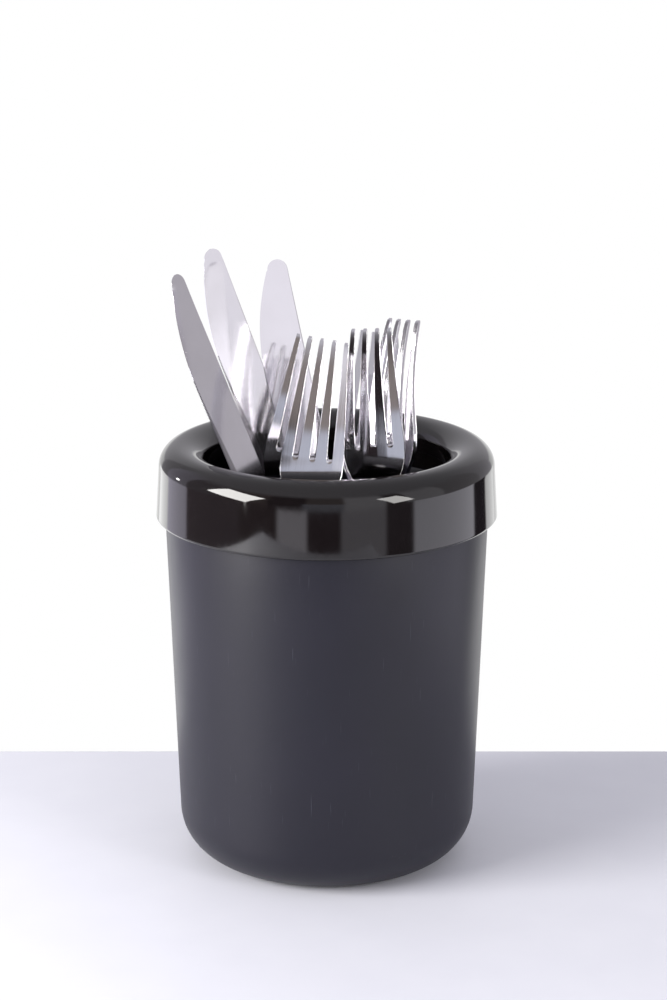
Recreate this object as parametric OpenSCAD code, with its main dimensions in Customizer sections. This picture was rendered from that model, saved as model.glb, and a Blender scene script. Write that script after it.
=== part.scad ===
// Round table caddy for cutlery: a tapered cup, a rolled rim ring that drops over its edge,
// and the table knives and forks that stand in it.
// Millimetres, +Z up. The origin is the middle of the cup's foot, on the table.

/* [Cup] */
// Height of the cup's edge above the table
cup_h = 141; // [125:1:155]
// Radius of the cup's edge, outside
cup_rim_r = 61.6; // [58:0.1:66]
// Radius at which the wall would meet the table, outside
cup_base_r = 56.5; // [53:0.1:60]
// Thickness of the wall
cup_wall = 2.8; // [2:0.1:4]
// Thickness of the floor
cup_floor = 3.2; // [2:0.1:5]
// Rounding between the wall and the foot, outside
foot_round = 19; // [10:0.5:22]

/* [Rim ring] */
// How far the skirt reaches down over the cup
skirt_overlap = 5.5; // [4:0.5:12]
// Gap between the skirt and the cup's edge
skirt_gap = 0.4; // [0.3:0.05:0.8]
// Thickness of the skirt at its lower edge
skirt_wall = 3; // [2:0.1:4]
// Inward lean of the skirt, in degrees
skirt_draft = 3.5; // [1:0.5:5]
// Rounding of the skirt's lower outer edge
skirt_edge_r = 1.2; // [0.4:0.1:1.8]
// Height at which the skirt turns into the rolled top, over the cup's edge
roll_rise = 14; // [12:0.1:18]
// Radius of the rolled top on its outer side
roll_r = 8; // [6:0.25:9]
// Radius of the rolled top on the side of the mouth
throat_round = 12.75; // [10:0.25:14]
// Radius of the mouth, where the rolled top ends in a short upright wall
mouth_r = 46; // [45:0.25:48]
// Height of the rolled top, from its flat underside to its crest
roll_depth = 11; // [9.5:0.25:12]

/* [Knives] */
// Length of a knife
knife_len = 235; // [220:1:245]
// Length of a knife's handle, up to the neck
knife_handle_len = 107; // [95:1:115]
// Width of the handle at its end
knife_handle_w = 17; // [14:0.5:18]
// Width of the handle at the neck
knife_neck_w = 12; // [9:0.5:13]
// Thickness of the handle along its middle
knife_handle_t = 6; // [4:0.25:6.5]
// Thickness of the handle along its edges
knife_side_t = 2.4; // [1.5:0.1:3]
// Length of the neck, from the handle to the full blade
knife_neck_len = 12; // [8:0.5:16]
// Width of the blade
blade_w = 17.4; // [14:0.2:18]
// Thickness of the blade at its back
blade_t = 2; // [1.4:0.1:2.4]
// Thickness left at the cutting edge
blade_edge_t = 0.5; // [0.3:0.1:1]
// Width of the ground strip beside the cutting edge
blade_grind_w = 4; // [2:0.25:6]
// Radius of the belly, where the edge sweeps up to the point
belly_r = 88; // [60:1:120]
// Radius of the blunt point
point_r = 4; // [3:0.25:5]

/* [Forks] */
// Length of a fork
fork_len = 206; // [195:1:212]
// Width of the handle at its end
fork_handle_w = 15; // [11:0.5:16]
// Width of the neck
fork_neck_w = 6.6; // [5:0.2:8]
// Width of the head across the palm
fork_head_w = 22.8; // [20:0.2:24]
// Length of the tines
tine_len = 41; // [36:1:48]
// Width of the slots at their roots
slot_w = 2.1; // [1.6:0.1:2.8]
// Distance between neighbouring tine tips
tip_pitch = 4.5; // [4.2:0.1:5.4]
// Width of a tine at its tip
tip_w = 1.5; // [1.2:0.1:2]
// Thickness of the neck
fork_neck_t = 3.4; // [2.4:0.1:4]
// Thickness of the palm
fork_palm_t = 2; // [1.6:0.1:2.6]
// Thickness of the tines at their tips
fork_tip_t = 1.4; // [1:0.1:1.8]

/* [Hidden] */
$fn = 96;

plastic_satin = [0.16, 0.155, 0.17];
plastic_gloss = [0.09, 0.08, 0.085];
steel = [0.78, 0.78, 0.80];

// Small overshoot that keeps cuts from ending flush with a face
over = 1;
// Gap left between a handle's end and the floor that carries it
stand_gap = 0.5;

// The cup's wall is a straight line in section. It leans out by this angle.
wall_lean = atan2(cup_rim_r - cup_base_r, cup_h);
function wall_r(z) = cup_base_r + (cup_rim_r - cup_base_r) * z / cup_h;

// Middle of a rounding that touches a floor at height z and, inside it, a wall set back from the outer one
function round_mid_r(z, back, r) = wall_r(z + r) - (back + r) / cos(wall_lean);

in_round = foot_round - cup_wall;
in_round_mid_r = round_mid_r(cup_floor, cup_wall, in_round);
in_round_mid_z = cup_floor + in_round;
// Inside radius at the height where the floor's rounding ends, used to place the handles
floor_r = in_round_mid_r + in_round;

skirt_in_r = cup_rim_r + skirt_gap;
skirt_r = skirt_in_r + skirt_wall;
skirt_z = cup_h - skirt_overlap;
roll_z = cup_h + roll_rise;
roll_mid_r = skirt_r - (roll_z - skirt_z) * tan(skirt_draft) - roll_r / cos(skirt_draft);
// The two sides of the rolled top meet at its crest
throat_z = roll_z + roll_r - throat_round;
lip_z = roll_z + roll_r - roll_depth;
// The seat covers the cup's whole edge
seat_in_r = cup_rim_r - cup_wall / cos(wall_lean);

// Points of an arc about c, from angle a to angle b, in n steps
function arc(c, r, a, b, n) =
    [for (i = [0:n]) let (t = a + (b - a) * i / n) c + r * [cos(t), sin(t)]];

// A handle end with round corners: the right half of its outline, from the middle of the end up
end_round_share = 0.75;
end_steps = 6;
function half_end(w) = let (r = end_round_share * w / 2) arc([w / 2 - r, r], r, -90, 0, end_steps);
function mirror_x(pts) = [for (i = [len(pts) - 1:-1:0]) [-pts[i].x, pts[i].y]];

// Where the pieces stand. Feet are shares of floor_r, mouth points shares of mouth_r,
// and a turn is the piece's own angle about its length, in degrees.
knife_feet = [[0.48, 0.195], [0.59, 0.61], [0.48, -0.67]];
knife_mouths = [[-0.695, 0.24], [-0.47, 0.67], [-0.145, -0.015]];
knife_turns = [55, 34, 14.5];
fork_feet = [[-0.475, -0.565], [-0.735, 0.185], [0.58, -0.195], [-0.19, -0.555], [0.725, -0.11]];
fork_mouths = [[-0.155, -0.835], [-0.3, -0.325], [0.415, -0.44], [0.315, 0.165], [0.565, -0.125]];
fork_turns = [-2, -2.5, -10.5, 11, -41];

// Direction of a piece's length: from its foot on the floor to its point in the mouth
function lean_way(foot, mouth) =
    let (run = mouth * mouth_r - foot * floor_r, way = [run.x, run.y, throat_z - cup_floor])
    way / norm(way);

// A point of a piece, turned about its length and leaned over, still about its foot
function leaned(p, way, turn) =
    let (heading = atan2(way.y, way.x),
         lean = acos(way.z),
         a = turn - heading,
         x1 = p.x * cos(a) - p.y * sin(a),
         y1 = p.x * sin(a) + p.y * cos(a),
         x2 = x1 * cos(lean) + p.z * sin(lean),
         z2 = p.z * cos(lean) - x1 * sin(lean))
    [x2 * cos(heading) - y1 * sin(heading), x2 * sin(heading) + y1 * cos(heading), z2];

// Height of the cup's inside at a distance r from its axis
function floor_z(r) =
    r <= in_round_mid_r ? cup_floor
    : in_round_mid_z - sqrt(max(0, in_round * in_round - pow(min(r, floor_r) - in_round_mid_r, 2)));

// Height of a piece's foot at which its end just clears the floor
function stand_z(foot, way, turn, w, t) =
    let (half = half_end(w), xy = foot * floor_r)
    stand_gap + max([for (q = concat(half, mirror_x(half)), y = [-t / 2, t / 2])
        let (p = leaned([q.x, y, q.y], way, turn)) floor_z(norm([xy.x + p.x, xy.y + p.y])) - p.z]);

// Stands a piece in the cup
module stand(foot, mouth, turn, w, t) {
    way = lean_way(foot, mouth);
    heading = atan2(way.y, way.x);
    translate([foot.x * floor_r, foot.y * floor_r, stand_z(foot, way, turn, w, t)])
        rotate([0, 0, heading])
            rotate([0, acos(way.z), 0])
                rotate([0, 0, turn - heading])
                    children();
}

// A front outline in X and Z cut through a plate that is depth thick
module front_plate(depth) {
    rotate([90, 0, 0])
        linear_extrude(depth, center = true)
            children();
}

// A side outline in Y and Z drawn out over a width in X
module side_plate(width) {
    rotate([90, 0, 90])
        linear_extrude(width, center = true)
            children();
}

// One skin of the cup in section: floor at z, wall set back by back, rounded by r, open above
module cup_section(z, back, r, top) {
    mid_r = round_mid_r(z, back, r);
    set_back = back / cos(wall_lean);
    touch = [mid_r + r * cos(wall_lean), z + r - r * sin(wall_lean)];
    polygon([[0, z], [mid_r, z], touch, [wall_r(top) - set_back, top], [0, top]]);
    translate([mid_r, z + r])
        circle(r);
}

module cup() {
    color(plastic_satin)
        rotate_extrude()
            difference() {
                cup_section(0, 0, foot_round, cup_h);
                cup_section(cup_floor, cup_wall, in_round, cup_h + over);
            }
}

// Half of a disc, on the left (-1) or on the right (0) of its middle
module half_disc(r, side) {
    intersection() {
        circle(r);
        translate([side * r, -r])
            square([r, 2 * r]);
    }
}

// Both sides of the rolled top in section
module roll_sides() {
    translate([roll_mid_r, roll_z])
        half_disc(roll_r, 0);
    translate([roll_mid_r, throat_z])
        half_disc(throat_round, -1);
}

module rim_ring() {
    touch = [roll_mid_r + roll_r * cos(skirt_draft), roll_z + roll_r * sin(skirt_draft)];
    edge = arc([skirt_r - skirt_edge_r, skirt_z + skirt_edge_r], skirt_edge_r, -90, 0, end_steps);
    color(plastic_gloss)
        rotate_extrude()
            difference() {
                union() {
                    polygon(concat([[roll_mid_r, skirt_z]], edge, [touch, [roll_mid_r, roll_z]]));
                    roll_sides();
                }
                // room for the cup's edge, up to the seat
                polygon([[0, skirt_z - over], [skirt_in_r, skirt_z - over],
                         [skirt_in_r, cup_h], [0, cup_h]]);
                // below the rolled top
                polygon([[0, cup_h - over], [seat_in_r, cup_h - over], [seat_in_r, lip_z], [0, lip_z]]);
                // the mouth
                polygon([[0, lip_z - over], [mouth_r, lip_z - over],
                         [mouth_r, roll_z + roll_r], [0, roll_z + roll_r]]);
            }
}

// The blade's back is the line x = back_x, its cutting edge the line x = edge_x
back_x = 0.47 * blade_w;
edge_x = back_x - blade_w;
blade_z = knife_handle_len + knife_neck_len;
// The blunt point touches the back and, from inside, the belly's arc
point_z = knife_len - point_r;
belly_mid_x = edge_x + belly_r;
belly_z = point_z - sqrt(pow(belly_r - point_r, 2) - pow(belly_mid_x - back_x + point_r, 2));
point_angle = atan2(point_z - belly_z, back_x - point_r - belly_mid_x);
belly_steps = 12;

module knife_front() {
    half = half_end(knife_handle_w);
    belly = arc([belly_mid_x, belly_z], belly_r, point_angle, 180, belly_steps);
    blunt = arc([back_x - point_r, point_z], point_r, 0, point_angle, belly_steps);
    polygon(concat(
        half, [[knife_neck_w / 2, knife_handle_len], [back_x, blade_z]],
        blunt, belly,
        [[edge_x, blade_z + knife_neck_len / 2], [-knife_neck_w / 2, knife_handle_len]],
        mirror_x(half)));
}

module knife_side() {
    polygon([[-knife_handle_t / 2, 0], [knife_handle_t / 2, 0],
             [knife_handle_t / 2, knife_handle_len], [blade_t / 2, blade_z],
             [blade_t / 2, knife_len], [-blade_t / 2, knife_len],
             [-blade_t / 2, blade_z], [-knife_handle_t / 2, knife_handle_len]]);
}

// Radius of the handle's domed faces, from their rise over half the handle's width
dome_rise = (knife_handle_t - knife_side_t) / 2;
dome_r = (pow(knife_handle_w / 2, 2) + pow(dome_rise, 2)) / (2 * dome_rise);

// The handle in cross section: two domed faces
module handle_section() {
    intersection() {
        translate([0, dome_r - knife_handle_t / 2])
            circle(dome_r);
        translate([0, knife_handle_t / 2 - dome_r])
            circle(dome_r);
    }
}

// One knife, standing on its handle's end, its back towards +X
module knife() {
    grind_x = edge_x + blade_grind_w;
    color(steel)
        difference() {
            intersection() {
                front_plate(knife_handle_t + over) knife_front();
                side_plate(2 * blade_w) knife_side();
                union() {
                    linear_extrude(knife_handle_len + over)
                        handle_section();
                    translate([-blade_w, -knife_handle_t, knife_handle_len])
                        cube([2 * blade_w, 2 * knife_handle_t, knife_len]);
                }
            }
            for (side = [-1, 1])
                translate([0, 0, blade_z])
                    linear_extrude(knife_len)
                        polygon([[edge_x, side * blade_edge_t / 2], [grind_x, side * blade_t / 2],
                                 [grind_x, side * blade_t], [edge_x - over, side * blade_t],
                                 [edge_x - over, side * blade_edge_t / 2]]);
        }
}

// The fork's length in side view: straight to the neck, a bend back, then the long curve of the head
neck_z = 0.64 * fork_len;
neck_bend = 7;
neck_bend_r = 60;
head_bend_r = 110;
neck_end = [-neck_bend_r * (1 - cos(neck_bend)), neck_z + neck_bend_r * sin(neck_bend)];
head_mid = neck_end + head_bend_r * [cos(neck_bend), sin(neck_bend)];
// The tips' own angle follows from the length that is left
tip_bend = asin((fork_len - head_mid.y) / head_bend_r);
bend_steps = 5;
head_steps = 12;

// Width and spacing of the tines at their roots
tine_root_w = (fork_head_w - 3 * slot_w) / 4;
root_pitch = tine_root_w + slot_w;
root_z = fork_len - tine_len;
palm_flat_len = 4;
shoulder_z = root_z - palm_flat_len;
shoulder_len = 22;
neck_len = 12;
shoulder_steps = 10;

function ease(t) = (1 - cos(180 * t)) / 2;

module fork_front() {
    half = half_end(fork_handle_w);
    shoulder = [for (i = [0:shoulder_steps])
        let (t = i / shoulder_steps)
        [(fork_neck_w + (fork_head_w - fork_neck_w) * ease(t)) / 2, shoulder_z - shoulder_len * (1 - t)]];
    right = concat(half, [[fork_neck_w / 2, neck_z - neck_len]], shoulder,
                   [[fork_head_w / 2, root_z + slot_w / 2]]);
    difference() {
        polygon(concat(right, mirror_x(right)));
        for (i = [-1:1])
            translate([i * root_pitch, root_z + slot_w / 2])
                circle(slot_w / 2);
    }
    for (i = [-1.5:1.5]) {
        root = [i * root_pitch, root_z];
        tip = [i * tip_pitch, fork_len - tip_w / 2];
        polygon([[root.x - tine_root_w / 2, root.y], [root.x + tine_root_w / 2, root.y],
                 [root.x + tine_root_w / 2, root.y + slot_w / 2], [tip.x + tip_w / 2, tip.y],
                 [tip.x - tip_w / 2, tip.y], [root.x - tine_root_w / 2, root.y + slot_w / 2]]);
        translate(tip)
            circle(tip_w / 2);
    }
}

// Thickness along the fork: handle to neck, neck to palm, palm to tips
function fork_t(z) = lookup(z, [[0, 1.2 * fork_palm_t], [neck_z, fork_neck_t],
                                [root_z, fork_palm_t], [fork_len, fork_tip_t]]);

module fork_side() {
    bend = arc([-neck_bend_r, neck_z], neck_bend_r, 0, neck_bend, bend_steps);
    head = [for (i = [1:head_steps])
        let (a = neck_bend - (neck_bend + tip_bend) * i / head_steps)
        head_mid - head_bend_r * [cos(a), sin(a)]];
    mid = concat([[0, 0]], bend, head);
    front = [for (p = mid) [p.x + fork_t(p.y) / 2, p.y]];
    back = [for (i = [len(mid) - 1:-1:0]) [mid[i].x - fork_t(mid[i].y) / 2, mid[i].y]];
    polygon(concat(front, back));
}

// One fork, standing on its handle's end, its hollow side towards +Y
module fork() {
    color(steel)
        intersection() {
            front_plate(2 * fork_head_w) fork_front();
            side_plate(2 * fork_head_w) fork_side();
        }
}

module stood_knife(i) {
    stand(knife_feet[i], knife_mouths[i], knife_turns[i], knife_handle_w, knife_handle_t)
        knife();
}

module stood_fork(i) {
    stand(fork_feet[i], fork_mouths[i], fork_turns[i], fork_handle_w, fork_t(0))
        fork();
}

cup();
rim_ring();
stood_knife(0);  // knife_1
stood_knife(1);  // knife_2
stood_knife(2);  // knife_3
stood_fork(0);  // fork_1
stood_fork(1);  // fork_2
stood_fork(2);  // fork_3
stood_fork(3);  // fork_4
stood_fork(4);  // fork_5
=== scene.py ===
"""Looks of a round table caddy for cutlery.

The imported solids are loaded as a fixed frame. Each piece that shows is a smooth mesh in that same frame: the
satin cup, the glossy rim ring with its rolled top, three table knives and five table forks. They stand on a
plain pale table in soft studio light. Sizes are in millimetres until a mesh is made, which is in metres.
"""

import logging
import math
from dataclasses import dataclass, field
from enum import Enum
from typing import Any, Sequence

import bpy
from mathutils import Matrix, Vector


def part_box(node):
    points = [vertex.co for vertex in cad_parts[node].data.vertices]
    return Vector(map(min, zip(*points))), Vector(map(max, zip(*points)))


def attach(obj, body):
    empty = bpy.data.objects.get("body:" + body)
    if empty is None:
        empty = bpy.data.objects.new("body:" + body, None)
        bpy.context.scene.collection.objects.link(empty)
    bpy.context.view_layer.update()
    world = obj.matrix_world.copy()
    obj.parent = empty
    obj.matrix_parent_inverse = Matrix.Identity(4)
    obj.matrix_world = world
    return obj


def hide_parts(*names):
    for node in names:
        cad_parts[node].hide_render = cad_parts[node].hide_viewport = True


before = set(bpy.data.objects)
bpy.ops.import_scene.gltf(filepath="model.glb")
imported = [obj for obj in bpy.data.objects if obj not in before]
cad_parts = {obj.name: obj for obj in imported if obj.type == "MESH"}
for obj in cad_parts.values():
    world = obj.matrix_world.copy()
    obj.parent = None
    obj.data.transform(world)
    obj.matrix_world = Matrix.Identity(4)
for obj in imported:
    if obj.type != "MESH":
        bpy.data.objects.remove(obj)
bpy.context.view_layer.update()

MM = 0.001
LOG = logging.getLogger("caddy")
# The corners of a handle's end are rounded by this share of half its width
END_ROUND_SHARE = 0.75

Point = tuple[float, float]
Colour = tuple[float, float, float, float]
Tree = bpy.types.NodeTree
Finish = bpy.types.Material
Piece = bpy.types.Object


def linear(hex_colour: str, level: float = 1.0) -> Colour:
    """Turns an sRGB hex colour to linear light.

    Args:
        hex_colour: Colour as "#rrggbb".
        level: Factor on the linear values, above 1 for something that shines.

    Returns:
        Red, green, blue and an alpha of 1.
    """
    parts = [int(hex_colour[i:i + 2], 16) / 255 for i in (1, 3, 5)]
    lit = [p / 12.92 if p <= 0.04045 else ((p + 0.055) / 1.055) ** 2.4 for p in parts]
    return (*(level * p for p in lit), 1.0)


def add_node(tree: Tree, kind: str, inputs: dict[Any, Any] | None = None, **settings: Any) -> Any:
    """Adds a node with its settings, values and links.

    Args:
        tree: Tree that takes the node.
        kind: Blender's name of the node type.
        inputs: Value or output socket for each input, by name or number.
        **settings: Properties of the node.

    Returns:
        The new node.
    """
    node = tree.nodes.new(kind)
    for name, value in settings.items():
        setattr(node, name, value)
    for key, value in (inputs or {}).items():
        if isinstance(value, bpy.types.NodeSocket):
            tree.links.new(value, node.inputs[key])
        else:
            node.inputs[key].default_value = value
    return node


def arc(mid: Point, radius: float, start: float, end: float, steps: int) -> list[Point]:
    """Returns the points of an arc between two angles in degrees, both ends included."""
    angles = [math.radians(start + (end - start) * i / steps) for i in range(steps + 1)]
    return [(mid[0] + radius * math.cos(a), mid[1] + radius * math.sin(a)) for a in angles]


def ease(t: float) -> float:
    """Returns a soft step from 0 to 1 as t goes from 0 to 1."""
    t = min(max(t, 0.0), 1.0)
    return (1 - math.cos(math.pi * t)) / 2


def mix(a: float, b: float, t: float) -> float:
    """Returns the value that lies at share t between a and b."""
    return a + (b - a) * t


class Coordinates(Enum):
    """What a pattern on a surface follows."""

    OBJECT = "Object"
    OWN_UV = "UV"


def stretched_noise(tree: Tree, follows: Coordinates, sizes: Sequence[float], detail: float) -> Any:
    """Adds noise whose blotches have given sizes.

    Args:
        tree: Material's tree.
        follows: Coordinates that carry the pattern, in metres.
        sizes: Size of a blotch along the three axes, in millimetres.
        detail: Octaves of finer noise.

    Returns:
        The noise's output socket.
    """
    place = add_node(tree, "ShaderNodeTexCoord").outputs[follows.value]
    scale = [1 / (size * MM) for size in sizes]
    mapped = add_node(tree, "ShaderNodeMapping", {"Vector": place, "Scale": scale})
    inputs = {"Vector": mapped.outputs[0], "Scale": 1.0, "Detail": detail}
    noise = add_node(tree, "ShaderNodeTexNoise", inputs)
    return noise.outputs["Fac"]


def spread(tree: Tree, value: Any, source: Point, target: Point) -> Any:
    """Returns the socket of a value that is brought from one range to another and clamped."""
    ends = {"Value": value, 1: source[0], 2: source[1], 3: target[0], 4: target[1]}
    return add_node(tree, "ShaderNodeMapRange", ends).outputs[0]


def blend_colours(tree: Tree, share: Any, low: Any, high: Any) -> Any:
    """Returns the socket of a mix of two colours, each given as a colour or a socket."""
    return add_node(tree, "ShaderNodeMix", {0: share, 6: low, 7: high}, data_type="RGBA").outputs[2]


def new_surface(name: str, **sockets: Any) -> tuple[Finish, Any]:
    """Starts a material.

    Args:
        name: The material's name.
        **sockets: Constants of the shader, with an underscore for each blank in a socket's name.

    Returns:
        The material and its shader node.
    """
    material = bpy.data.materials.new(name)
    material.use_nodes = True
    shader = material.node_tree.nodes["Principled BSDF"]
    for key, value in sockets.items():
        shader.inputs[key.replace("_", " ")].default_value = value
    return material, shader


def link_surface(tree: Tree, shader: Any, colour: Any, rough: Any, relief: dict[str, Any]) -> None:
    """Links a surface's patterns to its shader.

    Args:
        tree: Material's tree.
        shader: Its shader node.
        colour: Socket with the colour.
        rough: Socket with the roughness.
        relief: Inputs of the bump: a socket with the height, the strength and the depth in metres.
    """
    bump = add_node(tree, "ShaderNodeBump", relief)
    for name, socket in (("Base Color", colour), ("Roughness", rough), ("Normal", bump.outputs[0])):
        tree.links.new(socket, shader.inputs[name])


@dataclass(frozen=True)
class SatinPolypropylene:
    """Polypropylene moulded in a finely etched tool: near black, a soft wide sheen and a few pale scuffs."""

    dark: str = "#14141e"
    pale: str = "#1b1a27"
    scuff: str = "#45454f"
    # The etched grain is about 0.3 mm and drawn at 0.8 mm, because the render shows nothing finer
    grain: float = 0.8
    cloud: float = 34.0
    scuff_width: float = 0.5
    scuff_length: float = 60.0
    scuff_ends: Point = (0.74, 0.80)
    scuff_most: float = 0.5
    rough: Point = (0.40, 0.46)

    def material(self) -> Finish:
        """Builds the material.

        Returns:
            The material.
        """
        material, shader = new_surface("moulded_polypropylene_satin", IOR=1.49, Specular_IOR_Level=0.4)
        tree = material.node_tree
        cloud = stretched_noise(tree, Coordinates.OBJECT, [self.cloud] * 3, 3)
        grain = stretched_noise(tree, Coordinates.OBJECT, [self.grain] * 3, 2)
        lines = stretched_noise(
            tree, Coordinates.OBJECT, [self.scuff_width, self.scuff_width, self.scuff_length], 1)
        worn = spread(tree, lines, self.scuff_ends, (0.0, self.scuff_most))
        body = blend_colours(tree, cloud, linear(self.dark), linear(self.pale))
        colour = blend_colours(tree, worn, body, linear(self.scuff))
        rough = spread(tree, cloud, (0.3, 0.7), self.rough)
        link_surface(tree, shader, colour, rough, {"Height": grain, "Strength": 0.12, "Distance": 0.1 * MM})
        return material


@dataclass(frozen=True)
class GlossMelamine:
    """Melamine pressed in a polished tool: warm black, mirror bright, with faint waves from its shrinking."""

    dark: str = "#0d0a0b"
    pale: str = "#131011"
    cloud: float = 22.0
    wave: float = 17.0
    # Wiping marks are far finer, and drawn 1.5 mm wide so that they show
    wiping: float = 1.5
    rough: Point = (0.05, 0.085)

    def material(self) -> Finish:
        """Builds the material.

        Returns:
            The material.
        """
        material, shader = new_surface("pressed_melamine_gloss", IOR=1.55)
        tree = material.node_tree
        cloud = stretched_noise(tree, Coordinates.OBJECT, [self.cloud] * 3, 2)
        wiping = stretched_noise(tree, Coordinates.OBJECT, [self.wiping, self.wiping, 4 * self.wiping], 2)
        wave = stretched_noise(tree, Coordinates.OBJECT, [self.wave] * 3, 0)
        colour = blend_colours(tree, cloud, linear(self.dark), linear(self.pale))
        rough = spread(tree, wiping, (0.35, 0.7), self.rough)
        link_surface(tree, shader, colour, rough, {"Height": wave, "Strength": 0.25, "Distance": 0.1 * MM})
        return material


@dataclass(frozen=True)
class PolishedStainless:
    """Stainless steel, stamped and polished lengthwise: a clear mirror, faintly drawn out by fine lines."""

    name: str
    low: str = "#dcdade"
    high: str = "#e6e4e9"
    rough: Point = (0.07, 0.12)
    # Polishing lines are some hundredths of a millimetre wide, and drawn coarser so that they show
    line_width: float = 0.45
    line_length: float = 38.0
    cloud: float = 12.0

    def material(self) -> Finish:
        """Builds the material.

        Returns:
            The material.
        """
        material, shader = new_surface(self.name, Metallic=1.0)
        tree = material.node_tree
        sizes = [self.line_width, self.line_length, self.line_width]
        lines = stretched_noise(tree, Coordinates.OWN_UV, sizes, 3)
        cloud = stretched_noise(tree, Coordinates.OWN_UV, [self.cloud] * 3, 2)
        colour = blend_colours(tree, cloud, linear(self.low), linear(self.high))
        rough = spread(tree, lines, (0.3, 0.7), self.rough)
        link_surface(tree, shader, colour, rough, {"Height": lines, "Strength": 0.06, "Distance": 0.05 * MM})
        return material


@dataclass(frozen=True)
class LacqueredBoard:
    """Board sprayed with pale lacquer: cool white, almost matt, with a very faint mottle."""

    low: str = "#e2e3ed"
    high: str = "#e8e9f2"
    mottle: float = 25.0

    def material(self) -> Finish:
        """Builds the material.

        Returns:
            The material.
        """
        material, shader = new_surface("lacquered_board_pale", Roughness=0.55)
        tree = material.node_tree
        mottle = stretched_noise(tree, Coordinates.OBJECT, [self.mottle] * 3, 3)
        colour = blend_colours(tree, mottle, linear(self.low), linear(self.high))
        tree.links.new(colour, shader.inputs["Base Color"])
        return material


@dataclass
class Sketch:
    """Corners, faces and surface coordinates of a mesh in the making, in millimetres."""

    corners: list[Vector] = field(default_factory=list)
    faces: list[tuple[int, ...]] = field(default_factory=list)
    flat: list[Point] = field(default_factory=list)

    def add_row(self, points: Sequence[tuple[Vector, Point]]) -> list[int]:
        """Adds a row of corners.

        Args:
            points: Place and surface coordinates of each corner.

        Returns:
            The corners' numbers.
        """
        start = len(self.corners)
        self.corners += [place for place, _ in points]
        self.flat += [uv for _, uv in points]
        return list(range(start, len(self.corners)))

    def join_rows(self, low: Sequence[int], high: Sequence[int], closed: bool = False) -> None:
        """Fills the strip between two rows.

        Args:
            low: Corners of the first row.
            high: Corners of the second row, as many.
            closed: Whether the rows are loops.
        """
        last = len(low) if closed else len(low) - 1
        for i in range(last):
            j = (i + 1) % len(low)
            self.faces.append((low[i], low[j], high[j], high[i]))

    def join_plates(self, low: Sequence[Sequence[int]], high: Sequence[Sequence[int]]) -> None:
        """Fills both faces and both sides of a plate between two heights.

        Args:
            low: Corners of the back and of the front at the first height.
            high: The same at the second height.
        """
        (low_a, low_b), (high_a, high_b) = low, high
        self.join_rows(low_a, high_a)
        self.join_rows(high_b, low_b)
        self.faces.append((low_b[0], high_b[0], high_a[0], low_a[0]))
        self.faces.append((low_a[-1], high_a[-1], high_b[-1], low_b[-1]))

    def mesh(self, name: str, place: Matrix) -> bpy.types.Mesh:
        """Makes the mesh, in metres.

        Args:
            name: The mesh's name.
            place: Where the sketch stands in the object's frame, in millimetres.

        Returns:
            A mesh with its faces outwards and its surface coordinates in metres.
        """
        mesh = bpy.data.meshes.new(name)
        mesh.from_pydata([(place @ c) * MM for c in self.corners], [], self.faces)
        layer = mesh.uv_layers.new(name="along")
        for loop in mesh.loops:
            u, v = self.flat[loop.vertex_index]
            layer.data[loop.index].uv = (u * MM, v * MM)
        turn_outwards(mesh)
        return mesh


def turn_outwards(mesh: bpy.types.Mesh) -> None:
    """Turns a closed mesh whose faces all point inwards.

    Args:
        mesh: Mesh with one direction of winding.
    """
    mesh.calc_loop_triangles()
    at = [v.co for v in mesh.vertices]
    triangles = [[at[i] for i in t.vertices] for t in mesh.loop_triangles]
    if sum(a.dot(b.cross(c)) for a, b, c in triangles) < 0:
        mesh.flip_normals()


def new_object(name: str, mesh: bpy.types.Mesh) -> Piece:
    """Puts a mesh in the scene.

    Args:
        name: The object's name.
        mesh: Its mesh, already in place.

    Returns:
        The object, at the origin.
    """
    piece = bpy.data.objects.new(name, mesh)
    bpy.context.scene.collection.objects.link(piece)
    return piece


def new_tree(name: str, inputs: dict[str, str]) -> tuple[Tree, Any]:
    """Starts a tree of geometry nodes.

    Args:
        name: The tree's name.
        inputs: Socket type of each named input that follows the geometry.

    Returns:
        The tree and its input node.
    """
    tree = bpy.data.node_groups.new(name, "GeometryNodeTree")
    for title, kind in {"Geometry": "NodeSocketGeometry", **inputs}.items():
        tree.interface.new_socket(title, in_out="INPUT", socket_type=kind)
    tree.interface.new_socket("Geometry", in_out="OUTPUT", socket_type="NodeSocketGeometry")
    return tree, add_node(tree, "NodeGroupInput")


def close_tree(tree: Tree, geometry: Any, finish: Any) -> None:
    """Ends a tree with real geometry that has its material.

    Args:
        tree: The tree.
        geometry: Socket with the geometry.
        finish: Socket with the material.
    """
    real = add_node(tree, "GeometryNodeRealizeInstances", {"Geometry": geometry})
    dressed = add_node(tree, "GeometryNodeSetMaterial", {"Geometry": real.outputs[0], "Material": finish})
    add_node(tree, "NodeGroupOutput", {"Geometry": dressed.outputs[0]})


def grow(piece: Piece, tree: Tree, values: dict[str, Any]) -> None:
    """Runs a tree on an object and keeps the result as its plain mesh.

    Args:
        piece: Object whose mesh goes into the tree.
        tree: The tree.
        values: Value of each named input.
    """
    modifier = piece.modifiers.new("grown", "NODES")
    modifier.node_group = tree
    for item in tree.interface.items_tree:
        if item.in_out == "INPUT" and item.name in values:
            modifier[item.identifier] = values[item.name]
    ready = piece.evaluated_get(bpy.context.evaluated_depsgraph_get())
    mesh = bpy.data.meshes.new_from_object(ready)
    piece.modifiers.remove(modifier)
    piece.data = mesh
    mesh.name = piece.name


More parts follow.
